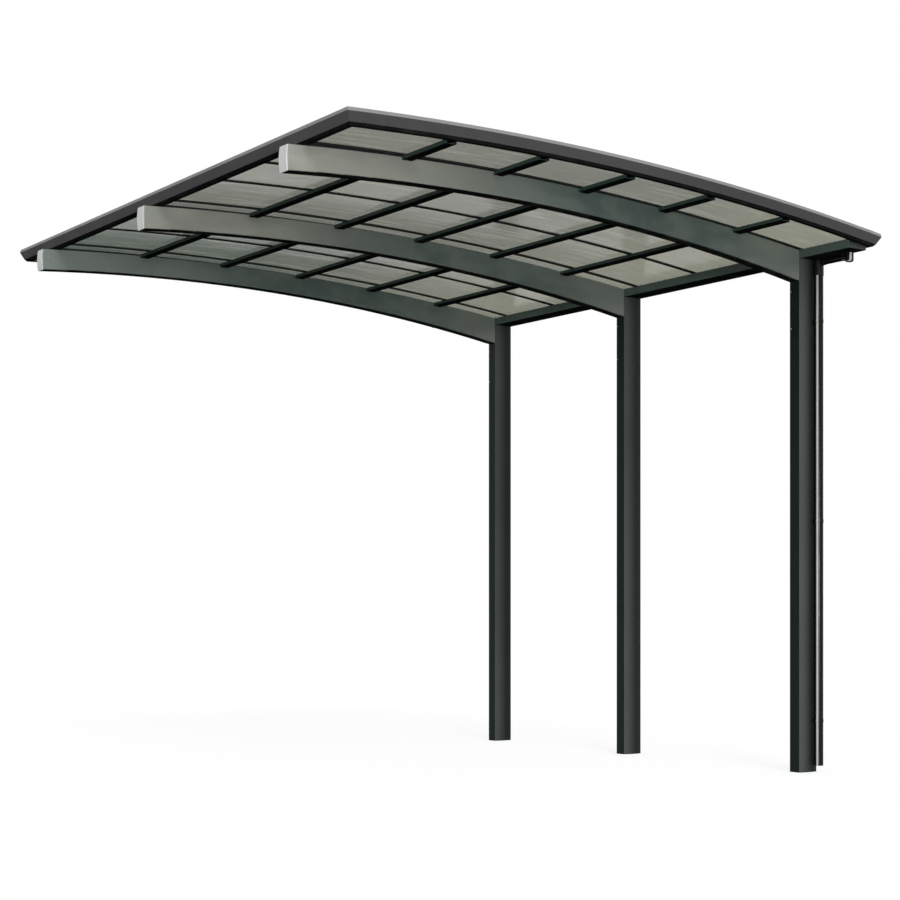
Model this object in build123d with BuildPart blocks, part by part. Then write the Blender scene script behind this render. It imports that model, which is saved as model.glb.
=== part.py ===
from build123d import *
from math import asin, cos, degrees, radians, sin, sqrt
import os

# One-sided carport with an arched roof, in millimetres.
# The origin is the middle of the front post's foot. +X points from the free edge of the
# roof to the row of posts, +Y from the front of the roof to its rear, and +Z up.

# Roof over its rim, and the arc that the underside of its sheets follows
roof_width = 3670.0
roof_length = 4015.0
roof_radius = 19400.0
apex_height = 3280.0
apex_inset = 1103.0
post_side_reach = 133.0

# Row of posts, from the front edge of the roof to the rear
front_overhang = 487.0
front_bay = 1590.0
rear_bay = 1450.0

# Posts, with bowed front and rear faces and a closed foot
post_width = 150.0
post_depth = 76.0
post_bow = 12.0
post_wall = 4.0
post_corner = 4.0
foot_thickness = 8.0

# Beams: depths and drops below the seats of the sheets, at tip, middle and post
beam_width = 76.0
beam_depths = (128.0, 131.0, 184.0)
beam_drops = (14.0, 2.0, 2.0)
beam_past_edge = 59.0
beam_wall = 4.0
beam_edge_radius = 6.0

# Domed cap in the tip of a beam
cap_thickness = 4.0
cap_dome = 6.0
cap_edge_radius = 3.0
plug_length = 20.0
plug_gap = 0.5

# Purlins between the beams
purlin_count = 5
first_purlin = 600.0
purlin_pitch = 578.0
purlin_width = 62.0
purlin_height = 22.0
purlin_wall = 2.2
purlin_edge_radius = 3.0

# Sheets: the spans between the front edge and the middles of the bars that join them
sheet_thickness = 4.0
sheet_edge_gap = 1.0
bar_spans = (450.0, 460.0, 455.0, 565.0, 445.0, 445.0, 550.0, 325.0)

# Bars that join the sheets
bar_web = 6.0
bar_foot_width = 22.0
bar_cap_width = 26.0
bar_cap_thickness = 3.0

# Levels and gaps of the pieces that lie on each other
under_sheet = 3.2
seat_gap = 0.5

# Rim round the roof, measured inward from its nose and up from the underside of the sheets
rim_rise = 66.0
rim_width = 58.0
rim_lean = 5.0
rim_top_width = 22.0
rim_wall = 2.5
nose_height = 48.0
face_inset = 20.0
face_bottom = 2.0
foot_inset = 32.0
foot_drop = 12.0
slot_inset = 34.0
flange_reach = 56.0
flange_top = 7.0
chamber_floor = 16.0
corner_leg = 120.0
seam_gap = 0.5

# Gutter under the rim on the post side
gutter_depth = 51.3
gutter_wall = 2.5
gutter_seam = 0.1
gutter_gap = 5.0
sheet_past_gutter = 45.0

# Outlet under the gutter, with a domed bottom and a branch for the cross pipe
outlet_y = -321.0
outlet_radius = 25.0
outlet_wall = 2.5
outlet_drop = 53.0
outlet_dome_radius = 12.0
outlet_floor = 6.0
neck_radius = 17.0
neck_gap = 0.5

# Rainwater pipes, and the branches they plug into
pipe_inset = 1.0
pipe_gap = 0.3
branch_wall = 2.0
branch_reach = 20.0
branch_gap = 0.2
cross_pipe_radius = 18.0
cross_pipe_wall = 2.0
cross_pipe_play = 4.0
downpipe_standoff = 10.2
downpipe_radius = 28.0
downpipe_wall = 2.0
downpipe_bottom = 40.0
downpipe_grip = 25.0

# Head on the downpipe
head_wall = 2.5
head_height = 93.0
head_gap = 3.0
head_edge_radius = 4.0

# Clips between the downpipe and the front post
clip_heights = (300.0, 1500.0, 2700.0)
clip_width = 20.0
clip_thickness = 1.5
clip_foot_width = 24.0

# Places that follow from the sizes above
front_y = -front_overhang
rear_y = front_y + roof_length
nose_x = post_side_reach
free_x = nose_x - roof_width
arc_x = free_x + apex_inset
arc_z = apex_height - roof_radius
roof_axis = Axis((arc_x, 0, arc_z), (0, 1, 0))
post_places = (0.0, front_bay, front_bay + rear_bay)
place_names = ("front", "middle", "rear")
carrier_top = -(under_sheet + seat_gap)
beam_tip_x = free_x - beam_past_edge
beam_root_x = -post_width / 2
frame_inset = rim_width + seat_gap
gutter_outer_x = nose_x - rim_width - gutter_gap
gutter_from_y = front_y + frame_inset
gutter_length = roof_length - 2 * frame_inset
sheet_from_x = free_x + slot_inset + sheet_edge_gap
sheet_to_x = beam_root_x + sheet_past_gutter
slot_top = sheet_thickness + seat_gap
branch_bore = cross_pipe_radius + pipe_gap
head_bore = downpipe_radius + pipe_gap
upward = (Align.CENTER, Align.CENTER, Align.MIN)


def roof_z(x, rise=0.0):
    """Height of the arc at a place along X, or of the arc that much above it."""
    return arc_z + sqrt((roof_radius + rise) ** 2 - (x - arc_x) ** 2)


# Levels and places of the gutter and its pipes
gutter_bottom = roof_z(beam_root_x, carrier_top) - gutter_depth
outlet_bottom = gutter_bottom - outlet_drop
pipe_x = gutter_outer_x - gutter_wall - neck_gap - neck_radius - pipe_inset
cross_pipe_height = gutter_bottom - seat_gap - branch_gap - branch_bore - branch_wall
head_top = gutter_bottom - head_gap
head_bottom = head_top - head_height
downpipe_y = -(post_depth / 2 + head_bore + head_wall + downpipe_standoff)
downpipe_top = head_bottom + downpipe_grip


def roof_angle(x):
    """Angle of the arc's radius at a place along X, in degrees from upright."""
    return degrees(asin((x - arc_x) / roof_radius))


def roof_section(x):
    """Plane square to the arc: its x runs along +Y, its y is the distance from the centre."""
    angle = radians(roof_angle(x))
    return Plane(origin=(arc_x, 0, arc_z), x_dir=(0, 1, 0), z_dir=(cos(angle), 0, -sin(angle)))


def edge_section(x, y, inward=1):
    """Plane across Y with its origin on the arc: its x runs inward along the arc."""
    angle = radians(roof_angle(x))
    inward_dir = Vector(cos(angle), 0, -sin(angle)) * inward
    return Plane(origin=(x, y, roof_z(x)), x_dir=inward_dir, z_dir=(0, -inward, 0))


def side_plane(y):
    """Upright plane across Y: its x is X and its y is the height."""
    return Plane(origin=(0, y, 0), x_dir=(1, 0, 0), z_dir=(0, -1, 0))


def polygon(plane, corners):
    """Face with straight sides on a plane."""
    with BuildSketch(plane) as face:
        with BuildLine():
            Polyline(*corners, close=True)
        make_face()
    return face.sketch


def save(name, part):
    """Label a piece and write its file."""
    part.label = name
    export_step(part, f"parts/{name}.step")


def arched_run(section, x_from, x_to):
    """Piece along the arc, from its section at the first place to the second place."""
    with BuildPart() as run:
        revolve(section, axis=roof_axis, revolution_arc=roof_angle(x_to) - roof_angle(x_from))
    return run.part


# Rim

def rim_outline():
    """Corners of the rim's section, from the top of its nose round to the top again."""
    return [
        (rim_lean, rim_rise),
        (0, nose_height),
        (face_inset, face_bottom),
        (foot_inset, -foot_drop),
        (rim_width, -foot_drop),
        (rim_width, -seat_gap),
        (slot_inset, -seat_gap),
        (slot_inset, slot_top),
        (flange_reach, slot_top),
        (flange_reach, flange_top),
        (rim_top_width, flange_top),
        (rim_top_width, rim_rise),
    ]


def nose_chamber():
    """Corners of the upright part of the rim, in which its upper chamber lies."""
    slope = face_inset / (nose_height - face_bottom)
    return [
        (rim_lean, rim_rise),
        (0, nose_height),
        (slope * (nose_height - chamber_floor), chamber_floor),
        (rim_top_width, chamber_floor),
        (rim_top_width, rim_rise),
    ]


def foot_chamber():
    """Corners of the foot of the rim, in which its lower chamber lies."""
    slope = (foot_inset - face_inset) / (face_bottom + foot_drop)
    return [
        (face_inset + slope * (face_bottom + seat_gap), -seat_gap),
        (foot_inset, -foot_drop),
        (rim_width, -foot_drop),
        (rim_width, -seat_gap),
    ]


def rim_face(plane, place):
    """Hollow section of the rim; place turns (inward, up) into coordinates of the plane."""
    face = polygon(plane, [place(u, v) for u, v in rim_outline()])
    for corners in (nose_chamber(), foot_chamber()):
        with BuildSketch(plane) as chamber:
            with BuildLine():
                Polyline(*[place(u, v) for u, v in corners], close=True)
            make_face()
            offset(amount=-rim_wall, kind=Kind.INTERSECTION)
        face = face - chamber.sketch
    return face


def arched_rim(edge_y, inward, x_from, x_to):
    """Rim along the arc, at the front or the rear."""
    section = rim_face(roof_section(x_from), lambda u, v: (edge_y + inward * u, roof_radius + v))
    return arched_run(section, x_from, x_to)


def straight_rim(edge_x, inward, y_from, y_to):
    """Rim along Y, at the free edge or on the post side."""
    section = rim_face(edge_section(edge_x, y_from, inward), lambda u, v: (u, v))
    with BuildPart() as rim:
        extrude(section, amount=y_to - y_from, dir=(0, 1, 0))
    return rim.part


def corner_piece(edge_x, edge_y, inward_x, inward_y):
    """Mitred corner of the rim, with a straight leg along each of its two edges."""
    angle = radians(roof_angle(edge_x))
    corner = Vector(edge_x, edge_y, roof_z(edge_x))
    along_roof = Vector(cos(angle), 0, -sin(angle))
    across_roof = Vector(0, inward_y, 0)
    mitre = Plane(origin=corner, z_dir=along_roof * inward_x - across_roof)
    end_section = Plane(origin=corner, x_dir=across_roof, z_dir=along_roof * inward_y)
    end_face = rim_face(end_section, lambda u, v: (u, v))
    y_from, y_to = sorted((edge_y, edge_y + inward_y * corner_leg))
    with BuildPart() as end_leg:
        extrude(end_face, amount=corner_leg, dir=along_roof * inward_x)
        split(bisect_by=mitre, keep=Keep.TOP)
    with BuildPart() as side_leg:
        add(straight_rim(edge_x, inward_x, y_from, y_to))
        split(bisect_by=mitre, keep=Keep.BOTTOM)
    with BuildPart() as piece:
        add(end_leg.part)
        add(side_leg.part)
    return piece.part


# Posts and beams

def post_face(y, height, inset):
    """Section of a post, drawn that far inside its outline."""
    half_x = post_width / 2 - inset
    half_y = post_depth / 2 - inset
    with BuildSketch(Plane.XY.offset(height)) as face:
        with BuildLine():
            ThreePointArc((-half_x, y - half_y), (0, y - half_y - post_bow), (half_x, y - half_y))
            Line((half_x, y - half_y), (half_x, y + half_y))
            ThreePointArc((half_x, y + half_y), (0, y + half_y + post_bow), (-half_x, y + half_y))
            Line((-half_x, y + half_y), (-half_x, y - half_y))
        make_face()
        fillet(face.vertices(), radius=post_corner)
    return face.sketch


def post(y):
    """Hollow post from the ground to the gutter, closed at its foot."""
    top = gutter_bottom - seat_gap
    with BuildPart() as column:
        extrude(post_face(y, 0, 0), amount=top)
        extrude(post_face(y, foot_thickness, post_wall), amount=top, mode=Mode.SUBTRACT)
    return column.part


def along_beam(values, x):
    """Smooth value at a place along X, from its values at a beam's tip, middle and post."""
    tip, middle, root = values
    share = (x - beam_tip_x) / (beam_root_x - beam_tip_x)
    at_tip = tip * (1 - share) * (1 - 2 * share)
    at_middle = middle * 4 * share * (1 - share)
    at_root = root * share * (2 * share - 1)
    return at_tip + at_middle + at_root


def beam_top(x):
    """Height of a beam's top at a place along X."""
    return roof_z(x, carrier_top) - along_beam(beam_drops, x)


def beam_side(y, x_from, x_to, inset):
    """Side view of a beam between two places, drawn that far inside its outline."""
    stations = (x_from, (x_from + x_to) / 2, x_to)
    top = [(x, beam_top(x) - inset) for x in stations]
    bottom = [(x, beam_top(x) - along_beam(beam_depths, x) + inset) for x in reversed(stations)]
    with BuildSketch(side_plane(y)) as side:
        with BuildLine():
            ThreePointArc(*top)
            Line(top[2], bottom[0])
            ThreePointArc(*bottom)
            Line(bottom[2], top[0])
        make_face()
    return side.sketch


def beam(y):
    """Curved hollow beam from its tip to the face of its post."""
    near_y = y - beam_width / 2
    cavity = beam_side(near_y + beam_wall, beam_tip_x - 1, beam_root_x + 1, beam_wall)
    with BuildPart() as arm:
        extrude(beam_side(near_y, beam_tip_x, beam_root_x, 0), amount=beam_width, dir=(0, 1, 0))
        long_edges = arm.edges().filter_by(GeomType.CIRCLE).sort_by(Axis.Z)
        fillet(long_edges[:2], radius=beam_edge_radius)
        extrude(cavity, amount=beam_width - 2 * beam_wall, dir=(0, 1, 0), mode=Mode.SUBTRACT)
    return arm.part


def beam_cap(y):
    """Domed cap that closes the tip of a beam and plugs into it."""
    near_y = y - beam_width / 2
    top = beam_top(beam_tip_x)
    bottom = top - beam_depths[0]
    rim_x = beam_tip_x - cap_thickness
    inset = beam_wall + plug_gap
    plug = beam_side(near_y + inset, beam_tip_x, beam_tip_x + plug_length, inset)
    with BuildPart() as cap:
        with BuildSketch(side_plane(near_y)):
            with BuildLine():
                Polyline((rim_x, bottom), (beam_tip_x, bottom), (beam_tip_x, top), (rim_x, top))
                ThreePointArc((rim_x, top), (rim_x - cap_dome, (top + bottom) / 2), (rim_x, bottom))
            make_face()
        extrude(amount=-beam_width)
        fillet(cap.faces().sort_by(Axis.X)[0].edges(), radius=cap_edge_radius)
        extrude(plug, amount=beam_width - 2 * inset, dir=(0, 1, 0))
    return cap.part


# Roof pieces

def purlin(index):
    """Hollow purlin in lengths that fit between the rims and the beams, under the sheets."""
    middle_x = free_x + first_purlin + index * purlin_pitch + purlin_width / 2
    bore_width = purlin_width - 2 * purlin_wall
    bore_height = purlin_height - 2 * purlin_wall
    beam_half = beam_width / 2 + seat_gap
    starts = [front_y + frame_inset] + [y + beam_half for y in post_places]
    ends = [y - beam_half for y in post_places] + [rear_y - frame_inset]
    with BuildPart() as rail:
        for start, end in zip(starts, ends):
            with BuildSketch(edge_section(middle_x, start)):
                with Locations((0, carrier_top - purlin_height / 2)):
                    RectangleRounded(purlin_width, purlin_height, purlin_edge_radius)
                    Rectangle(bore_width, bore_height, mode=Mode.SUBTRACT)
            extrude(amount=start - end)
    return rail.part


def roof_sheet(y_from, y_to):
    """Curved sheet between two bars, or between a bar and the rim."""
    top = roof_radius + sheet_thickness
    corners = [(y_from, roof_radius), (y_to, roof_radius), (y_to, top), (y_from, top)]
    return arched_run(polygon(roof_section(sheet_from_x), corners), sheet_from_x, sheet_to_x)


def joint_bar(y):
    """Curved bar with a foot under two sheets, a web between them and a cap over them."""
    web = bar_web / 2
    foot = bar_foot_width / 2
    cap = bar_cap_width / 2
    bar_from_x = free_x + rim_width + sheet_edge_gap
    right = [(foot, -under_sheet), (foot, -seat_gap), (web, -seat_gap), (web, slot_top)]
    right += [(cap, slot_top), (cap, slot_top + bar_cap_thickness)]
    left = [(-across, up) for across, up in reversed(right)]
    corners = [(y + across, roof_radius + up) for across, up in right + left]
    return arched_run(polygon(roof_section(bar_from_x), corners), bar_from_x, sheet_to_x)


# Gutter and rainwater pipes

def gutter_wall_piece(x_from):
    """Upright wall of the gutter from one place along X, up to under the bars and rims."""
    x_to = x_from + gutter_wall
    corners = [
        (x_from, gutter_bottom),
        (x_to, gutter_bottom),
        (x_to, roof_z(x_to, carrier_top)),
        (x_from, roof_z(x_from, carrier_top)),
    ]
    with BuildPart() as wall:
        extrude(polygon(side_plane(gutter_from_y), corners), amount=-gutter_length)
    return wall.part


def gutter_floor():
    """Floor of the gutter between its walls, with a hole for the neck of the outlet."""
    width = gutter_outer_x - beam_root_x - 2 * (gutter_wall + gutter_seam)
    middle = (gutter_outer_x + beam_root_x) / 2
    with BuildPart() as floor:
        with BuildSketch(Plane.XY.offset(gutter_bottom)):
            with Locations((middle, gutter_from_y + gutter_length / 2)):
                Rectangle(width, gutter_length)
            with Locations((pipe_x, outlet_y)):
                Circle(neck_radius + neck_gap, mode=Mode.SUBTRACT)
        extrude(amount=gutter_wall)
    return floor.part


def gutter_ends():
    """Plates that close the two ends of the gutter, inside its walls and on its floor."""
    left = beam_root_x + gutter_wall + gutter_seam
    right = gutter_outer_x - gutter_wall - gutter_seam
    floor_top = gutter_bottom + gutter_wall + gutter_seam
    corners = [
        (left, floor_top),
        (right, floor_top),
        (right, roof_z(right, carrier_top)),
        (left, roof_z(left, carrier_top)),
    ]
    with BuildPart() as ends:
        for start in (gutter_from_y, gutter_from_y + gutter_length - gutter_wall):
            extrude(polygon(side_plane(start), corners), amount=-gutter_wall)
    return ends.part


def branch_face(y, side, radius):
    """Round section of a branch along Y, to the front or the rear of a pipe's middle."""
    plane = Plane(origin=(pipe_x, y, cross_pipe_height), x_dir=(1, 0, 0), z_dir=(0, side, 0))
    with BuildSketch(plane) as face:
        Circle(radius)
    return face.sketch


def outlet():
    """Round outlet with a neck up into the gutter and a branch to the rear."""
    shoulder = gutter_bottom - seat_gap
    floor = outlet_bottom + outlet_floor
    reach = outlet_radius + branch_reach
    with BuildPart() as fitting:
        with Locations((pipe_x, outlet_y, outlet_bottom)):
            Cylinder(outlet_radius, shoulder - outlet_bottom, align=upward)
        fillet(fitting.edges().sort_by(Axis.Z)[0], radius=outlet_dome_radius)
        with Locations((pipe_x, outlet_y, shoulder)):
            Cylinder(neck_radius, gutter_wall, align=upward)
        extrude(branch_face(outlet_y, 1, branch_bore + branch_wall), amount=reach)
        with Locations((pipe_x, outlet_y, floor)):
            Cylinder(
                neck_radius - outlet_wall,
                shoulder + gutter_wall - floor,
                align=upward,
                mode=Mode.SUBTRACT,
            )
        extrude(branch_face(outlet_y, 1, branch_bore), amount=reach, mode=Mode.SUBTRACT)
    return fitting.part


def downpipe_head():
    """Closed head over the end of the downpipe, with a branch to the front."""
    outer = head_bore + head_wall
    reach = outer + branch_reach
    with BuildPart() as head:
        with Locations((pipe_x, downpipe_y, head_bottom)):
            Cylinder(outer, head_top - head_bottom, align=upward)
        fillet(head.edges().sort_by(Axis.Z)[-1], radius=head_edge_radius)
        extrude(branch_face(downpipe_y, -1, branch_bore + branch_wall), amount=reach)
        with Locations((pipe_x, downpipe_y, head_bottom)):
            Cylinder(
                head_bore,
                head_top - head_wall - head_bottom,
                align=upward,
                mode=Mode.SUBTRACT,
            )
        extrude(branch_face(downpipe_y, -1, branch_bore), amount=reach, mode=Mode.SUBTRACT)
    return head.part


def cross_pipe():
    """Pipe from the outlet to the head, a little clear of both."""
    start = outlet_y + outlet_radius + cross_pipe_play
    end = downpipe_y - head_bore - head_wall - cross_pipe_play
    with BuildPart() as pipe:
        with BuildSketch(Plane(origin=(pipe_x, start, cross_pipe_height), z_dir=(0, 1, 0))):
            Circle(cross_pipe_radius)
            Circle(cross_pipe_radius - cross_pipe_wall, mode=Mode.SUBTRACT)
        extrude(amount=end - start)
    return pipe.part


def downpipe():
    """Open pipe from the head down to just above the ground."""
    with BuildPart() as pipe:
        with BuildSketch(Plane.XY.offset(downpipe_bottom)):
            with Locations((pipe_x, downpipe_y)):
                Circle(downpipe_radius)
                Circle(downpipe_radius - downpipe_wall, mode=Mode.SUBTRACT)
        extrude(amount=downpipe_top - downpipe_bottom)
    return pipe.part


def downpipe_clips():
    """Rings round the downpipe, each with a foot that follows the bowed face of the post."""
    ring_bore = downpipe_radius + pipe_gap
    with BuildPart() as clips:
        with BuildSketch(Plane.XY):
            with Locations((pipe_x, downpipe_y)):
                Circle(ring_bore + clip_thickness)
            with Locations((pipe_x, downpipe_y / 2)):
                Rectangle(clip_foot_width, -downpipe_y)
            with Locations((pipe_x, downpipe_y)):
                Circle(ring_bore, mode=Mode.SUBTRACT)
            add(post_face(0, 0, -seat_gap), mode=Mode.SUBTRACT)
        extrude(amount=clip_width)
    ring = clips.part
    return Compound([Pos(0, 0, height) * ring.solid() for height in clip_heights])


os.makedirs("parts", exist_ok=True)

for name, y in zip(place_names, post_places):
    save(f"{name}_post", post(y))
    save(f"{name}_beam", beam(y))
    save(f"{name}_beam_cap", beam_cap(y))

for index in range(purlin_count):
    save(f"purlin_{index + 1}", purlin(index))

sheet_gap = bar_web / 2 + sheet_edge_gap
sheet_start = front_y + slot_inset + sheet_edge_gap
bar_y = front_y
for number, span in enumerate(bar_spans, start=1):
    bar_y += span
    save(f"roof_sheet_{number}", roof_sheet(sheet_start, bar_y - sheet_gap))
    save(f"joint_bar_{number}", joint_bar(bar_y))
    sheet_start = bar_y + sheet_gap
sheet_end = rear_y - slot_inset - sheet_edge_gap
save(f"roof_sheet_{len(bar_spans) + 1}", roof_sheet(sheet_start, sheet_end))

rim_inset = corner_leg + seam_gap
for name, edge_y, inward in (("front", front_y, 1), ("rear", rear_y, -1)):
    save(f"{name}_rim", arched_rim(edge_y, inward, free_x + rim_inset, nose_x - rim_inset))
    save(f"{name}_free_corner", corner_piece(free_x, edge_y, 1, inward))
    save(f"{name}_post_corner", corner_piece(nose_x, edge_y, -1, inward))
save("free_side_rim", straight_rim(free_x, 1, front_y + rim_inset, rear_y - rim_inset))
save("post_side_rim", straight_rim(nose_x, -1, front_y + rim_inset, rear_y - rim_inset))

save("gutter_inner_wall", gutter_wall_piece(beam_root_x))
save("gutter_outer_wall", gutter_wall_piece(gutter_outer_x - gutter_wall))
save("gutter_floor", gutter_floor())
save("gutter_ends", gutter_ends())
save("gutter_outlet", outlet())
save("cross_pipe", cross_pipe())
save("downpipe_head", downpipe_head())
save("downpipe", downpipe())
save("downpipe_clips", downpipe_clips())
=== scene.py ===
import math

import bmesh
import bpy
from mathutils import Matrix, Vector


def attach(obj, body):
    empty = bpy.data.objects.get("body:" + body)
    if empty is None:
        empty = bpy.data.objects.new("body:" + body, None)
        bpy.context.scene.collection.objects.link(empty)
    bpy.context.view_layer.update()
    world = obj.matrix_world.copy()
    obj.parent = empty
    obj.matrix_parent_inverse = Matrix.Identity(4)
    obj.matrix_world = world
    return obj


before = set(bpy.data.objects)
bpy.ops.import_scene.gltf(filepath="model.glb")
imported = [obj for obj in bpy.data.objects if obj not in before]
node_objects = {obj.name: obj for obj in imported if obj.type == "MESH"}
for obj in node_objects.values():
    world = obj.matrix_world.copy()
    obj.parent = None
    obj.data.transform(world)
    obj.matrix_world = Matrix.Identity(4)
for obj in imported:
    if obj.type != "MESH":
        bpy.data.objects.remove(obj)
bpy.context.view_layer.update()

# One-sided carport: looks, small fasteners, seals, lights and the camera, in metres

# Roof, as in the CAD source: its free and front edges and the arc of the sheets' undersides
free_x = -3.537
front_y = -0.487
apex_inset = 1.103
apex_height = 3.28
arc_radius = 19.4
arc_x = free_x + apex_inset
arc_z = apex_height - arc_radius
rim_width = 0.058
bar_spans = (0.45, 0.46, 0.455, 0.565, 0.445, 0.445, 0.55, 0.325)

# Beams, as in the CAD source: depths and drops below the seats of the sheets, at tip, middle and post
beam_places = (0.0, 1.59, 3.04)
beam_half = 0.038
beam_past_edge = 0.059
beam_tip_x = free_x - beam_past_edge
beam_root_x = -0.075
beam_depths = (0.128, 0.131, 0.184)
beam_drops = (0.014, 0.002, 0.002)
carrier_top = -0.0037

# Screws along the caps of the bars
bar_top = 0.0075
bar_screw_count = 12
bar_screw_inset = 0.14
bar_screw_pitch = 0.292

# Screws on the sides of the beams' tips, the faces of the posts and the undersides of the beams
tip_screw_x = (-3.558, -3.481)
tip_screw_drop = 0.045
post_screw_heights = (2.889, 2.666)
post_screw_offset = 0.027
under_screw_x = (-0.594, -0.13)
under_screw_side = 0.018
under_screw_facing = (0.03, 0, -1)

# Seals on the beams and under the caps of the bars, with heights from the underside of the sheets
seal_clearance = 0.0002
seal_from_x = free_x + rim_width + 0.002
beam_seal_half = 0.036
beam_seal_to_x = -0.078
beam_seal_top = -0.0034
bar_seal_inner = 0.004
bar_seal_outer = 0.0142
bar_seal_to_x = -0.032
bar_seal_bottom = 0.00405
bar_seal_top = 0.00445

# Seals round the ends of the rainwater pipes
pipe_x = 0.049
outlet_y = -0.321
outlet_branch_reach = 0.045
downpipe_y = -0.079
head_branch_reach = 0.0508
cross_pipe_z = 3.06
head_bottom = 2.985
cross_seal_radii = (0.0181, 0.0202)
downpipe_seal_radii = (0.0281, 0.0306)
pipe_seal_length = 0.0016

# Colours that several coats share; the near black is painted shade on undersides
underside_shade_black = (0.004, 0.005, 0.005)
pipe_black = (0.006, 0.007, 0.007)


def roof_z(x, rise=0.0):
    """Height of the underside of the sheets, or of the arc that much above it."""
    return arc_z + math.sqrt((arc_radius + rise) ** 2 - (x - arc_x) ** 2)


def roof_normal(x):
    """Direction square to the roof at a place along X."""
    angle = math.asin((x - arc_x) / arc_radius)
    return Vector((math.sin(angle), 0, math.cos(angle)))


def along_beam(values, x):
    """Smooth value at a place along X, from its values at a beam's tip, middle and post."""
    tip, middle, root = values
    share = (x - beam_tip_x) / (beam_root_x - beam_tip_x)
    at_tip = tip * (1 - share) * (1 - 2 * share)
    at_middle = middle * 4 * share * (1 - share)
    at_root = root * share * (2 * share - 1)
    return at_tip + at_middle + at_root


def beam_top(x):
    """Height of a beam's top at a place along X."""
    return roof_z(x, carrier_top) - along_beam(beam_drops, x)


def beam_bottom(x):
    """Height of a beam's underside at a place along X."""
    return beam_top(x) - along_beam(beam_depths, x)


# Node helpers

def link(tree, source, target):
    """Join an output socket to an input socket."""
    tree.links.new(source, target)


def add_node(tree, kind, **settings):
    """New node with some of its properties set."""
    node = tree.nodes.new(kind)
    for key, value in settings.items():
        setattr(node, key, value)
    return node


def noise(tree, vector, scale, detail, roughness=0.55):
    """Noise texture on a vector, and its factor socket."""
    node = add_node(tree, "ShaderNodeTexNoise")
    node.inputs["Scale"].default_value = scale
    node.inputs["Detail"].default_value = detail
    node.inputs["Roughness"].default_value = roughness
    link(tree, vector, node.inputs["Vector"])
    return node.outputs["Fac"]


def remap(tree, value, low, high, to_low, to_high):
    """Smooth map of a value from one range to another."""
    node = add_node(tree, "ShaderNodeMapRange", interpolation_type="SMOOTHSTEP")
    ends = {"From Min": low, "From Max": high, "To Min": to_low, "To Max": to_high}
    for name, number in ends.items():
        node.inputs[name].default_value = number
    link(tree, value, node.inputs["Value"])
    return node.outputs["Result"]


def math_node(tree, operation, first, second):
    """Math node on two sockets or numbers."""
    node = add_node(tree, "ShaderNodeMath", operation=operation)
    for index, value in enumerate((first, second)):
        if isinstance(value, (int, float)):
            node.inputs[index].default_value = value
        else:
            link(tree, value, node.inputs[index])
    return node.outputs[0]


def mix_colour(tree, factor, first, second):
    """Mix of two colours, each a socket or three numbers."""
    node = add_node(tree, "ShaderNodeMix", data_type="RGBA")
    link(tree, factor, node.inputs[0])
    for socket, value in ((node.inputs[6], first), (node.inputs[7], second)):
        if isinstance(value, tuple):
            socket.default_value = (*value, 1.0)
        else:
            link(tree, value, socket)
    return node.outputs[2]


def stretched(tree, scale):
    """Object coordinates, scaled along each axis."""
    place = add_node(tree, "ShaderNodeTexCoord")
    mapping = add_node(tree, "ShaderNodeMapping")
    mapping.inputs["Scale"].default_value = scale
    link(tree, place.outputs["Object"], mapping.inputs["Vector"])
    return mapping.outputs["Vector"]


def new_group(name, inputs, outputs):
    """Empty shader node group with named sockets; returns its tree, inputs and outputs."""
    tree = bpy.data.node_groups.new(name, "ShaderNodeTree")
    for label, kind, default in inputs:
        socket = tree.interface.new_socket(label, in_out="INPUT", socket_type=kind)
        socket.default_value = default
    for label, kind in outputs:
        tree.interface.new_socket(label, in_out="OUTPUT", socket_type=kind)
    return tree, add_node(tree, "NodeGroupInput"), add_node(tree, "NodeGroupOutput")


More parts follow.
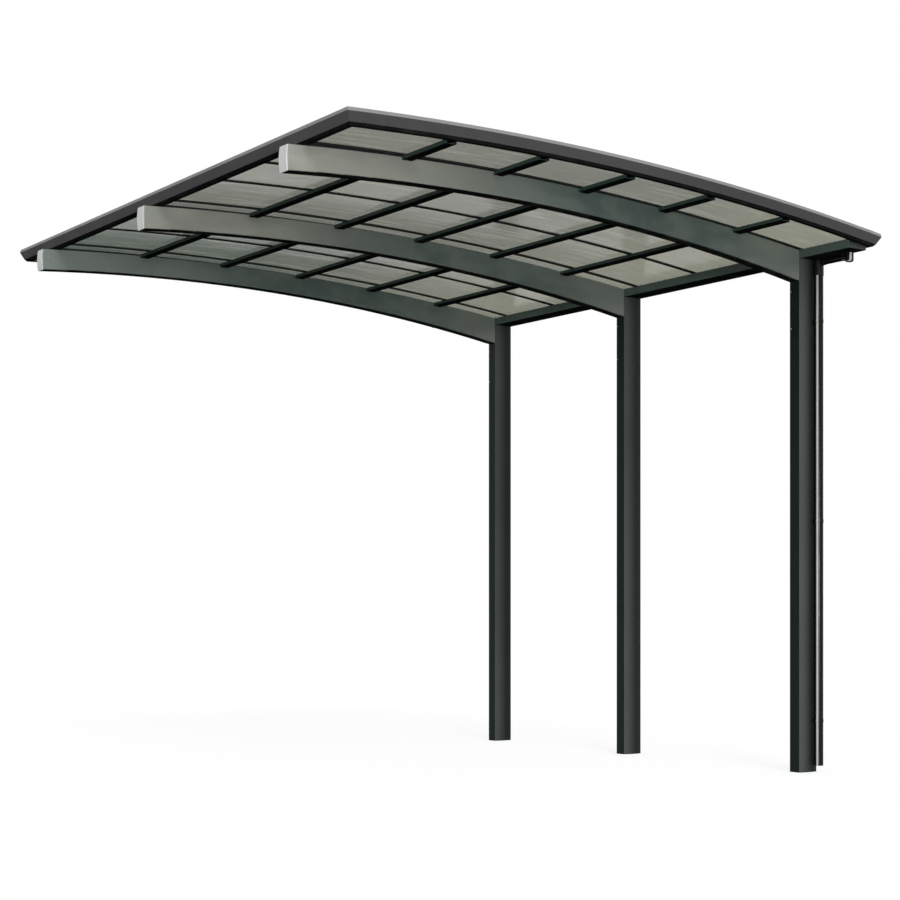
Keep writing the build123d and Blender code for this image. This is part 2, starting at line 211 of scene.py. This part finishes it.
def make_coat_group():
    """Powder coat: broad tone, dust, rain streaks, fine peel and softened edges."""
    tree, given, result = new_group(
        "powder_coat",
        (
            ("Colour", "NodeSocketColor", (0.1, 0.1, 0.1, 1.0)),
            ("Dust", "NodeSocketColor", (0.2, 0.2, 0.18, 1.0)),
            ("Dust Amount", "NodeSocketFloat", 0.25),
            ("Roughness", "NodeSocketFloat", 0.4),
            ("Peel", "NodeSocketFloat", 0.15),
        ),
        (
            ("Colour", "NodeSocketColor"),
            ("Roughness", "NodeSocketFloat"),
            ("Normal", "NodeSocketVector"),
        ),
    )
    even = stretched(tree, (1, 1, 1))
    broad = noise(tree, even, 1.3, 4)
    cloud = noise(tree, even, 9.0, 5)
    streak = noise(tree, stretched(tree, (26, 26, 1.1)), 1.0, 4)
    grain = noise(tree, even, 1400.0, 2)
    peel = noise(tree, even, 420.0, 2)
    cloudy = remap(tree, cloud, 0.42, 0.7, 0, 1)
    patchy = remap(tree, broad, 0.3, 0.65, 0.3, 1)
    streaks = remap(tree, streak, 0.55, 0.78, 0, 0.5)
    settled = math_node(tree, "MAXIMUM", math_node(tree, "MULTIPLY", cloudy, patchy), streaks)
    dust = math_node(tree, "MULTIPLY", settled, given.outputs["Dust Amount"])
    tone = remap(tree, broad, 0.3, 0.7, 0.0, 0.12)
    toned = mix_colour(tree, tone, given.outputs["Colour"], (0.0, 0.0, 0.0))
    specks = remap(tree, grain, 0.35, 0.7, 0.0, 0.1)
    speckled = mix_colour(tree, specks, toned, given.outputs["Dust"])
    dusted = mix_colour(tree, dust, speckled, given.outputs["Dust"])
    link(tree, dusted, result.inputs["Colour"])
    uneven = remap(tree, cloud, 0.3, 0.7, -0.05, 0.08)
    rough = math_node(tree, "ADD", given.outputs["Roughness"], uneven)
    dust_rough = math_node(tree, "MULTIPLY", dust, 0.3)
    link(tree, math_node(tree, "ADD", rough, dust_rough), result.inputs["Roughness"])
    soft_edge = add_node(tree, "ShaderNodeBevel", samples=4)
    soft_edge.inputs["Radius"].default_value = 0.0012
    bump = add_node(tree, "ShaderNodeBump")
    bump.inputs["Distance"].default_value = 0.0004
    link(tree, given.outputs["Peel"], bump.inputs["Strength"])
    fine_relief = math_node(tree, "MULTIPLY", grain, 0.5)
    link(tree, math_node(tree, "ADD", peel, fine_relief), bump.inputs["Height"])
    link(tree, soft_edge.outputs["Normal"], bump.inputs["Normal"])
    link(tree, bump.outputs["Normal"], result.inputs["Normal"])
    return tree


coat_group = make_coat_group()


def new_material(name):
    """Empty node material; returns it with its tree and its principled shader."""
    material = bpy.data.materials.new(name)
    material.use_nodes = True
    tree = material.node_tree
    tree.nodes.clear()
    shader = add_node(tree, "ShaderNodeBsdfPrincipled")
    output = add_node(tree, "ShaderNodeOutputMaterial")
    link(tree, shader.outputs[0], output.inputs["Surface"])
    return material, tree, shader


def coated(
    name,
    colour,
    dust=(0.2, 0.2, 0.18),
    dust_amount=0.2,
    rough=0.4,
    peel=0.15,
    metallic=0.0,
    specular=0.4,
):
    """Coat from the shared group; its colour is three numbers or a function that makes it."""
    material, tree, shader = new_material(name)
    coat = add_node(tree, "ShaderNodeGroup", node_tree=coat_group)
    if isinstance(colour, tuple):
        coat.inputs["Colour"].default_value = (*colour, 1.0)
    else:
        link(tree, colour(tree), coat.inputs["Colour"])
    coat.inputs["Dust"].default_value = (*dust, 1.0)
    coat.inputs["Dust Amount"].default_value = dust_amount
    coat.inputs["Roughness"].default_value = rough
    coat.inputs["Peel"].default_value = peel
    shader.inputs["Metallic"].default_value = metallic
    # Painted shade: faces that look down lose their reflection, so undersides stay dark
    shade_dimmed_specular = remap(tree, normal_part(tree, "Z"), -0.5, -0.2, 0.0, specular)
    link(tree, shade_dimmed_specular, shader.inputs["Specular IOR Level"])
    link(tree, coat.outputs["Colour"], shader.inputs["Base Color"])
    link(tree, coat.outputs["Roughness"], shader.inputs["Roughness"])
    link(tree, coat.outputs["Normal"], shader.inputs["Normal"])
    return material


def normal_part(tree, axis):
    """How much a face looks along an axis, from -1 to 1."""
    surface = add_node(tree, "ShaderNodeNewGeometry")
    parts = add_node(tree, "ShaderNodeSeparateXYZ")
    link(tree, surface.outputs["Normal"], parts.inputs[0])
    return parts.outputs[axis]


def paint_shade_below(tree, colour):
    """The colour, painted nearly black as shade where a face looks down."""
    below = remap(tree, normal_part(tree, "Z"), -0.5, -0.9, 0.0, 1.0)
    return mix_colour(tree, below, colour, underside_shade_black)


def along(tree, axis, low, high):
    """0 to 1 between two places along an axis."""
    place = add_node(tree, "ShaderNodeTexCoord")
    parts = add_node(tree, "ShaderNodeSeparateXYZ")
    link(tree, place.outputs["Object"], parts.inputs[0])
    return remap(tree, parts.outputs[axis], low, high, 0.0, 1.0)


def beam_colour(tree):
    """Painted light and shade: light grey at the tips, less so on the rear beam, darkest in the middle,
    lighter again near the post as a painted highlight, with patches of painted sheen and painted nearly
    black below.
    """
    tip = mix_colour(tree, along(tree, "Y", 1.6, 3.0), (0.37, 0.375, 0.33), (0.24, 0.28, 0.245))
    outer = mix_colour(tree, along(tree, "X", -3.5, -1.6), tip, (0.065, 0.094, 0.084))
    whole = mix_colour(tree, along(tree, "X", -1.0, -0.1), outer, (0.14, 0.165, 0.142))
    # Painted sheen: faint lighter patches along the sides
    painted_sheen_noise = noise(tree, stretched(tree, (1.6, 1, 5)), 1.0, 2)
    side = mix_colour(tree, remap(tree, painted_sheen_noise, 0.45, 0.62, 0, 0.35), whole, (0.17, 0.2, 0.175))
    return paint_shade_below(tree, side)


def post_colour(tree):
    """Dark green grey with painted light and shade: the bowed front carries a painted reflection, lighter
    on the left, and the free side is darkest as painted shade.
    """
    across = normal_part(tree, "X")
    bow_reflection_mask = remap(tree, across, -0.32, 0.16, 0, 1)
    bowed = mix_colour(tree, bow_reflection_mask, (0.088, 0.094, 0.092), (0.01, 0.016, 0.014))
    to_front = remap(tree, normal_part(tree, "Y"), -0.8, -0.6, 1, 0)
    front = mix_colour(tree, to_front, (0.022, 0.03, 0.027), bowed)
    free_side_lighting_mask = remap(tree, across, -0.9, -0.6, 1, 0)
    return mix_colour(tree, free_side_lighting_mask, front, (0.004, 0.011, 0.009))


def purlin_colour(tree):
    """Dark green grey, painted nearly black as shade on the undersides."""
    return paint_shade_below(tree, (0.035, 0.062, 0.053))


def gutter_colour(tree):
    """Green grey on the side that looks to the free edge, painted nearly black as shade elsewhere."""
    free_side_lighting_mask = remap(tree, normal_part(tree, "X"), -0.9, -0.6, 1, 0)
    return mix_colour(tree, free_side_lighting_mask, (0.008, 0.011, 0.01), (0.075, 0.115, 0.1))


def banded(tree, low, high, light):
    """Black, with a painted highlight: a light band on the front where the face looks that far along X.
    """
    across = normal_part(tree, "X")
    front = remap(tree, normal_part(tree, "Y"), -0.1, 0.1, 1, 0)
    rise = remap(tree, across, low - 0.05, low, 0, 1)
    fall = remap(tree, across, high, high + 0.06, 1, 0)
    band = math_node(tree, "MULTIPLY", rise, fall)
    return mix_colour(tree, math_node(tree, "MULTIPLY", band, front), pipe_black, light)


def downpipe_colour(tree):
    """Black, with a painted highlight towards the free side."""
    return banded(tree, -0.94, -0.8, (0.62, 0.65, 0.6))


def outlet_colour(tree):
    """Black, with a broad painted highlight to the front."""
    return banded(tree, -0.7, -0.3, (0.66, 0.68, 0.64))


def rim_colour(tree):
    """Painted light and shade: light grey where it looks up, darker where it leans down, lighter where it
    looks to the free side, nearly black on the undersides.
    """
    upward = normal_part(tree, "Z")
    free_side_lighting_mask = remap(tree, normal_part(tree, "X"), -0.6, -0.3, 1, 0)
    lower = mix_colour(tree, free_side_lighting_mask, (0.066, 0.067, 0.069), (0.12, 0.121, 0.123))
    side = mix_colour(tree, remap(tree, upward, -0.1, 0.1, 0, 1), lower, (0.27, 0.27, 0.275))
    return mix_colour(tree, remap(tree, upward, -0.62, -0.5, 1, 0), side, (0.006, 0.006, 0.007))


gloss_finish = {"rough": 0.2, "dust_amount": 0.05, "peel": 0.04}

materials = {
    "post": coated(
        "post_coat",
        post_colour,
        rough=0.42,
        dust=(0.04, 0.05, 0.045),
        dust_amount=0.1,
        specular=0.08,
    ),
    "purlin": coated(
        "purlin_coat",
        purlin_colour,
        rough=0.45,
        dust=(0.1, 0.11, 0.1),
        dust_amount=0.1,
        specular=0.15,
    ),
    "gutter": coated(
        "gutter_coat",
        gutter_colour,
        rough=0.42,
        dust=(0.12, 0.13, 0.12),
        dust_amount=0.12,
    ),
    "beam": coated(
        "beam_coat",
        beam_colour,
        rough=0.34,
        dust=(0.24, 0.25, 0.22),
        dust_amount=0.14,
    ),
    "rim": coated(
        "rim_coat",
        rim_colour,
        rough=0.5,
        dust=(0.14, 0.14, 0.14),
        dust_amount=0.1,
        peel=0.3,
    ),
    "bar": coated(
        "bar_coat",
        (0.012, 0.013, 0.013),
        rough=0.5,
        dust=(0.06, 0.06, 0.06),
        dust_amount=0.1,
    ),
    "downpipe": coated(
        "downpipe_coat",
        downpipe_colour,
        dust=(0.02, 0.02, 0.02),
        specular=0.12,
        **gloss_finish,
    ),
    "pipe": coated(
        "pipe_coat",
        pipe_black,
        dust=(0.02, 0.02, 0.02),
        specular=0.2,
        **gloss_finish,
    ),
    "outlet": coated(
        "outlet_coat",
        outlet_colour,
        dust=(0.1, 0.1, 0.1),
        specular=0.2,
        **gloss_finish,
    ),
    "cap": coated(
        "cap_metal",
        (0.62, 0.63, 0.62),
        rough=0.36,
        dust=(0.4, 0.4, 0.38),
        dust_amount=0.1,
        metallic=0.6,
    ),
    "screw": coated(
        "screw_steel",
        (0.32, 0.33, 0.33),
        rough=0.3,
        dust_amount=0.1,
        metallic=0.9,
        peel=0.05,
    ),
    "seal": coated(
        "seal_rubber",
        (0.008, 0.008, 0.008),
        rough=0.62,
        dust=(0.05, 0.05, 0.05),
        specular=0.2,
    ),
}


def make_sheet_material():
    """Smoky clear sheet, toned by place with painted light towards the post side and painted shade at the
    rear left, with soft pale streaks of painted reflection and a thin film of dust.
    """
    material, tree, shader = new_material("tinted_sheet")
    streak = noise(tree, stretched(tree, (2.3, 34, 2.3)), 1.0, 2, 0.4)
    patch = noise(tree, stretched(tree, (1, 1, 1)), 2.2, 4)
    dust = noise(tree, stretched(tree, (1, 1, 1)), 60.0, 6, 0.7)
    mottle = remap(tree, patch, 0.3, 0.7, 0, 1)
    base = mix_colour(tree, mottle, (0.278, 0.284, 0.246), (0.298, 0.302, 0.262))
    # Painted shade at the rear left and painted light towards the post side
    far = math_node(tree, "MULTIPLY", along(tree, "Y", 0.9, 2.6), along(tree, "X", -1.0, -2.4))
    painted_light_near_post = mix_colour(tree, along(tree, "X", -1.6, -0.2), base, (0.35, 0.355, 0.29))
    shaded = mix_colour(tree, far, painted_light_near_post, (0.195, 0.228, 0.195))
    # Soft pale streaks of painted reflection
    reflection_streaked = mix_colour(tree, remap(tree, streak, 0.57, 0.62, 0, 0.6), shaded, (0.4, 0.4, 0.36))
    dusted = mix_colour(tree, remap(tree, dust, 0.5, 0.8, 0, 0.12), reflection_streaked, (0.24, 0.235, 0.21))
    link(tree, dusted, shader.inputs["Base Color"])
    link(tree, remap(tree, dust, 0.3, 0.7, 0.12, 0.24), shader.inputs["Roughness"])
    shader.inputs["Transmission Weight"].default_value = 0.9
    shader.inputs["IOR"].default_value = 1.08
    wave = noise(tree, stretched(tree, (3, 9, 3)), 1.0, 2)
    bump = add_node(tree, "ShaderNodeBump")
    bump.inputs["Strength"].default_value = 0.1
    bump.inputs["Distance"].default_value = 0.004
    link(tree, wave, bump.inputs["Height"])
    link(tree, bump.outputs["Normal"], shader.inputs["Normal"])
    return material


materials["sheet"] = make_sheet_material()

# A node takes the look of the first of these parts that its name holds
looks = (
    ("post_side_rim", "rim"), ("free_side_rim", "rim"), ("front_rim", "rim"), ("rear_rim", "rim"),
    ("corner", "rim"), ("cap", "cap"), ("beam", "beam"), ("post", "post"), ("purlin", "purlin"),
    ("sheet", "sheet"), ("bar", "bar"), ("gutter_outlet", "outlet"), ("gutter", "gutter"),
    ("pipe_head", "pipe"), ("pipe_clips", "downpipe"), ("downpipe", "downpipe"), ("pipe", "pipe"),
)
for name, piece in node_objects.items():
    look = next(material for part, material in looks if part in name)
    piece.data.materials.clear()
    piece.data.materials.append(materials[look])


# Small pieces

def add_piece(name, mesh):
    """Adds a new piece that rides on the carport."""
    mesh_object = bpy.data.objects.new(name, mesh)
    bpy.context.scene.collection.objects.link(mesh_object)
    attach(mesh_object, "root")


def lathe(name, profile, socket_depth, steps=20):
    """Turned mesh round Z from a profile of (radius, height), with its flat top sunk that deep."""
    mesh = bpy.data.meshes.new(name)
    form = bmesh.new()
    angles = [2 * math.pi * i / steps for i in range(steps)]
    rings = []
    for radius, height in profile:
        around = [(radius * math.cos(t), radius * math.sin(t), height) for t in angles]
        rings.append([form.verts.new(point) for point in around])
    for low, high in zip(rings, rings[1:]):
        for i in range(steps):
            j = (i + 1) % steps
            form.faces.new((low[i], low[j], high[j], high[i]))
    form.faces.new(list(reversed(rings[0])))
    top = form.faces.new(rings[-1])
    walls = bmesh.ops.extrude_face_region(form, geom=[top])
    moved = [item for item in walls["geom"] if isinstance(item, bmesh.types.BMVert)]
    bmesh.ops.translate(form, verts=moved, vec=(0, 0, -socket_depth))
    bmesh.ops.delete(form, geom=[top], context="FACES_ONLY")
    bmesh.ops.recalc_face_normals(form, faces=form.faces)
    form.to_mesh(mesh)
    form.free()
    return mesh


def make_scatter_group():
    """Geometry nodes that set a screw on each point, turned along its own direction."""
    tree = bpy.data.node_groups.new("set_screws", "GeometryNodeTree")
    tree.interface.new_socket("Points", in_out="INPUT", socket_type="NodeSocketGeometry")
    tree.interface.new_socket("Screw", in_out="INPUT", socket_type="NodeSocketObject")
    tree.interface.new_socket("Finish", in_out="INPUT", socket_type="NodeSocketMaterial")
    tree.interface.new_socket("Screws", in_out="OUTPUT", socket_type="NodeSocketGeometry")
    given = add_node(tree, "NodeGroupInput")
    result = add_node(tree, "NodeGroupOutput")
    screw = add_node(tree, "GeometryNodeObjectInfo")
    facing = add_node(tree, "GeometryNodeInputNamedAttribute", data_type="FLOAT_VECTOR")
    facing.inputs["Name"].default_value = "facing"
    turn = add_node(tree, "FunctionNodeAlignRotationToVector", axis="Z")
    instances = add_node(tree, "GeometryNodeInstanceOnPoints")
    real = add_node(tree, "GeometryNodeRealizeInstances")
    finish = add_node(tree, "GeometryNodeSetMaterial")
    link(tree, given.outputs["Points"], instances.inputs["Points"])
    link(tree, given.outputs["Screw"], screw.inputs["Object"])
    link(tree, screw.outputs["Geometry"], instances.inputs["Instance"])
    link(tree, facing.outputs["Attribute"], turn.inputs["Vector"])
    link(tree, turn.outputs["Rotation"], instances.inputs["Rotation"])
    link(tree, instances.outputs["Instances"], real.inputs["Geometry"])
    link(tree, real.outputs["Geometry"], finish.inputs["Geometry"])
    link(tree, given.outputs["Finish"], finish.inputs["Material"])
    link(tree, finish.outputs["Geometry"], result.inputs["Screws"])
    return tree


scatter_group = make_scatter_group()


def socket_id(tree, label):
    """Identifier of a group input with that label."""
    inputs = [item for item in tree.interface.items_tree if item.in_out == "INPUT"]
    return next(item.identifier for item in inputs if item.name == label)


def set_screws(name, screw_mesh, places, look):
    """Adds a piece with a screw at each place; a place is a point and the way the screw faces."""
    points = bpy.data.meshes.new(name + "_points")
    points.from_pydata([tuple(point) for point, _ in places], [], [])
    facing = points.attributes.new("facing", "FLOAT_VECTOR", "POINT")
    for index, (_, direction) in enumerate(places):
        facing.data[index].vector = Vector(direction).normalized()
    carrier = bpy.data.objects.new(name + "_carrier", points)
    screw = bpy.data.objects.new(name + "_screw", screw_mesh)
    for item in (carrier, screw):
        bpy.context.scene.collection.objects.link(item)
    modifier = carrier.modifiers.new("screws", "NODES")
    modifier.node_group = scatter_group
    modifier[socket_id(scatter_group, "Screw")] = screw
    modifier[socket_id(scatter_group, "Finish")] = materials[look]
    bpy.context.view_layer.update()
    evaluated = carrier.evaluated_get(bpy.context.evaluated_depsgraph_get())
    mesh = bpy.data.meshes.new_from_object(evaluated)
    for item in (carrier, screw):
        bpy.data.objects.remove(item)
    add_piece(name, mesh)


pan_washer = ((0.0085, 0.0), (0.0085, 0.0012), (0.0062, 0.0014))
pan_dome = ((0.0062, 0.0034), (0.0054, 0.0046), (0.0036, 0.0052))
small_dome = ((0.0046, 0.0), (0.0046, 0.0012), (0.0038, 0.0026), (0.0024, 0.0032))
pan_head = lathe("pan_head", pan_washer + pan_dome, socket_depth=0.0022)
small_head = lathe("small_head", small_dome, socket_depth=0.0014, steps=16)

bar_places = []
bar_y = front_y
for span in bar_spans:
    bar_y += span
    bar_places.append(bar_y)


def bar_screw_places():
    """Screws in a row along the cap of each bar."""
    places = []
    for y in bar_places:
        for step in range(bar_screw_count):
            x = free_x + bar_screw_inset + step * bar_screw_pitch
            places.append((Vector((x, y, roof_z(x, bar_top))), roof_normal(x)))
    return places


def tip_screw_places():
    """Screws on both sides of each beam, at its tip."""
    places = []
    for y in beam_places:
        for x in tip_screw_x:
            height = beam_top(x) - tip_screw_drop
            places.append((Vector((x, y - beam_half, height)), (0, -1, 0)))
            places.append((Vector((x, y + beam_half, height)), (0, 1, 0)))
    return places


def post_screw_places():
    """Screws on the face of each post that looks to the free side."""
    places = []
    for y in beam_places:
        for height in post_screw_heights:
            places.append((Vector((beam_root_x, y + post_screw_offset, height)), (-1, 0, 0)))
    return places


def under_screw_places():
    """Pairs of screws under each beam, near its post."""
    places = []
    for y in beam_places:
        for x in under_screw_x:
            for side in (-under_screw_side, under_screw_side):
                places.append((Vector((x, y + side, beam_bottom(x))), under_screw_facing))
    return places


set_screws("bar_cap_screws", small_head, bar_screw_places(), "screw")
set_screws("beam_tip_screws", small_head, tip_screw_places(), "screw")
set_screws("post_face_screws", small_head, post_screw_places(), "screw")
set_screws("beam_under_screws", pan_head, under_screw_places(), "pipe")


def strip_mesh(form, x_from, x_to, y_from, y_to, bottom, top, steps=32):
    """Adds a curved strip along X between two heights, each a function of the place along X."""
    rows = []
    for step in range(steps + 1):
        x = x_from + (x_to - x_from) * step / steps
        corners = ((y_from, bottom(x)), (y_to, bottom(x)), (y_to, top(x)), (y_from, top(x)))
        rows.append([form.verts.new((x, y, z)) for y, z in corners])
    for first, second in zip(rows, rows[1:]):
        for i in range(4):
            j = (i + 1) % 4
            form.faces.new((first[i], first[j], second[j], second[i]))
    form.faces.new(rows[0])
    form.faces.new(list(reversed(rows[-1])))


def finish_form(name, form, look):
    """Adds the strips or rings of a form as one piece."""
    bmesh.ops.recalc_face_normals(form, faces=form.faces)
    mesh = bpy.data.meshes.new(name)
    form.to_mesh(mesh)
    form.free()
    mesh.materials.append(materials[look])
    add_piece(name, mesh)


def beam_seal_underside(x):
    """Height just above a beam's top."""
    return beam_top(x) + seal_clearance


def beam_seal_upper(x):
    """Height of the top of a beam's seal."""
    return roof_z(x, beam_seal_top)


def bar_seal_underside(x):
    """Height just above the sheets."""
    return roof_z(x, bar_seal_bottom)


def bar_seal_upper(x):
    """Height of the top of a bar's seal."""
    return roof_z(x, bar_seal_top)


def make_beam_seals():
    """Seal along the top of each beam."""
    form = bmesh.new()
    for y in beam_places:
        y_from = y - beam_seal_half
        y_to = y + beam_seal_half
        strip_mesh(form, seal_from_x, beam_seal_to_x, y_from, y_to, beam_seal_underside, beam_seal_upper)
    finish_form("beam_seals", form, "seal")


def make_bar_seals():
    """Two seals along each bar, one on either side of its web."""
    form = bmesh.new()
    for y in bar_places:
        for side in (-1, 1):
            y_from, y_to = sorted((y + side * bar_seal_inner, y + side * bar_seal_outer))
            strip_mesh(form, seal_from_x, bar_seal_to_x, y_from, y_to, bar_seal_underside, bar_seal_upper)
    finish_form("bar_seals", form, "seal")


make_beam_seals()
make_bar_seals()


def ring_mesh(form, centre, axis, radii, length, steps=40):
    """Adds a closed ring round an axis, from its centre that far along it."""
    turn = Vector(axis).to_track_quat("Z", "Y").to_matrix()
    inner, outer = radii
    section = ((inner, 0.0), (outer, 0.0), (outer, length), (inner, length))
    angles = [2 * math.pi * i / steps for i in range(steps)]
    rings = []
    for radius, height in section:
        around = [turn @ Vector((radius * math.cos(t), radius * math.sin(t), height)) for t in angles]
        rings.append([form.verts.new(Vector(centre) + point) for point in around])
    for k in range(4):
        low, high = rings[k], rings[(k + 1) % 4]
        for i in range(steps):
            j = (i + 1) % steps
            form.faces.new((low[i], low[j], high[j], high[i]))


def make_pipe_seals():
    """Rings where the cross pipe and the downpipe plug in."""
    outlet_end = (pipe_x, outlet_y + outlet_branch_reach + seal_clearance, cross_pipe_z)
    head_side = (pipe_x, downpipe_y - head_branch_reach - seal_clearance, cross_pipe_z)
    head_foot = (pipe_x, downpipe_y, head_bottom - seal_clearance)
    form = bmesh.new()
    ring_mesh(form, outlet_end, (0, 1, 0), cross_seal_radii, pipe_seal_length)
    ring_mesh(form, head_side, (0, -1, 0), cross_seal_radii, pipe_seal_length)
    ring_mesh(form, head_foot, (0, 0, -1), downpipe_seal_radii, pipe_seal_length)
    finish_form("pipe_seals", form, "seal")


make_pipe_seals()


# Surroundings

floor_reach = 400.0
floor_look = 0.3
floor_glow = 0.8
floor_throw = 0.12
world_look = 1.0
world_light = 0.55
key_place = (-7.5, -13.0, 1.5)
key_target = (-1.5, 1.0, 2.8)
camera_place = (-7.831, -7.358, 0.996)
camera_turn = -35.35


def seen_directly(tree):
    """1 for what the camera, a reflection or a clear sheet looks at, 0 for what only gives light."""
    rays = add_node(tree, "ShaderNodeLightPath")
    seen = math_node(tree, "MAXIMUM", rays.outputs["Is Camera Ray"], rays.outputs["Is Glossy Ray"])
    return math_node(tree, "MAXIMUM", seen, rays.outputs["Is Transmission Ray"])


def grey_shader(tree, kind, grey, strength=None):
    """Shader of one grey, and of that strength if it gives light."""
    node = add_node(tree, kind)
    node.inputs["Color"].default_value = (grey, grey, grey, 1)
    if strength is not None:
        node.inputs["Strength"].default_value = strength
    return node


def finish_tree(tree, unseen, seen, output_kind):
    """Output with two shaders: the first for what gives light, the second for what is looked at."""
    mix = add_node(tree, "ShaderNodeMixShader")
    output = add_node(tree, output_kind)
    link(tree, seen_directly(tree), mix.inputs[0])
    link(tree, unseen.outputs[0], mix.inputs[1])
    link(tree, seen.outputs[0], mix.inputs[2])
    link(tree, mix.outputs[0], output.inputs["Surface"])


def make_floor(scene):
    """Wide floor that looks white and throws little light up."""
    corners = [(x * floor_reach, y * floor_reach, 0) for x, y in ((-1, -1), (1, -1), (1, 1), (-1, 1))]
    mesh = bpy.data.meshes.new("floor")
    mesh.from_pydata(corners, [], [(0, 1, 2, 3)])
    floor = bpy.data.objects.new("floor", mesh)
    scene.collection.objects.link(floor)
    material = bpy.data.materials.new("floor_white")
    material.use_nodes = True
    tree = material.node_tree
    tree.nodes.clear()
    bright = grey_shader(tree, "ShaderNodeBsdfDiffuse", floor_look)
    glow = grey_shader(tree, "ShaderNodeEmission", 1.0, floor_glow)
    white = add_node(tree, "ShaderNodeAddShader")
    link(tree, bright.outputs[0], white.inputs[0])
    link(tree, glow.outputs[0], white.inputs[1])
    dim = grey_shader(tree, "ShaderNodeBsdfDiffuse", floor_throw)
    finish_tree(tree, dim, white, "ShaderNodeOutputMaterial")
    mesh.materials.append(material)


def make_world(scene):
    """White sky that lights less than it shows."""
    world = bpy.data.worlds.new("studio")
    scene.world = world
    world.use_nodes = True
    tree = world.node_tree
    tree.nodes.clear()
    shown = grey_shader(tree, "ShaderNodeBackground", 1.0, world_look)
    lighting = grey_shader(tree, "ShaderNodeBackground", 1.0, world_light)
    finish_tree(tree, lighting, shown, "ShaderNodeOutputWorld")


def make_lights(scene):
    """Soft sun from the front and above, and a broad light low in front, from the free side."""
    sun_data = bpy.data.lights.new("top", "SUN")
    sun_data.energy = 0.9
    sun_data.angle = math.radians(25)
    sun = bpy.data.objects.new("top", sun_data)
    sun.rotation_euler = Vector((-0.35, -1.0, 0.75)).to_track_quat("Z", "Y").to_euler()
    scene.collection.objects.link(sun)

    key_data = bpy.data.lights.new("key", "AREA")
    key_data.shape = "RECTANGLE"
    key_data.size = 5.0
    key_data.size_y = 2.0
    key_data.energy = 1040.0
    key = bpy.data.objects.new("key", key_data)
    key.location = key_place
    aim = Vector(key_target) - key.location
    key.rotation_euler = aim.to_track_quat("-Z", "Y").to_euler()
    scene.collection.objects.link(key)


def make_camera(scene):
    """Level camera with its picture shifted up, as fitted to the photograph."""
    camera_data = bpy.data.cameras.new("camera")
    camera_data.lens = 69.84
    camera_data.sensor_width = 36.0
    camera_data.shift_y = 0.1738
    camera_data.clip_end = 1500.0
    camera = bpy.data.objects.new("camera", camera_data)
    camera.location = camera_place
    camera.rotation_euler = (math.radians(90), 0, math.radians(camera_turn))
    scene.collection.objects.link(camera)
    scene.camera = camera


def finish_scene():
    """Floor, sky, lights and camera."""
    scene = bpy.context.scene
    scene.view_settings.view_transform = "Standard"
    make_floor(scene)
    make_world(scene)
    make_lights(scene)
    make_camera(scene)


finish_scene()
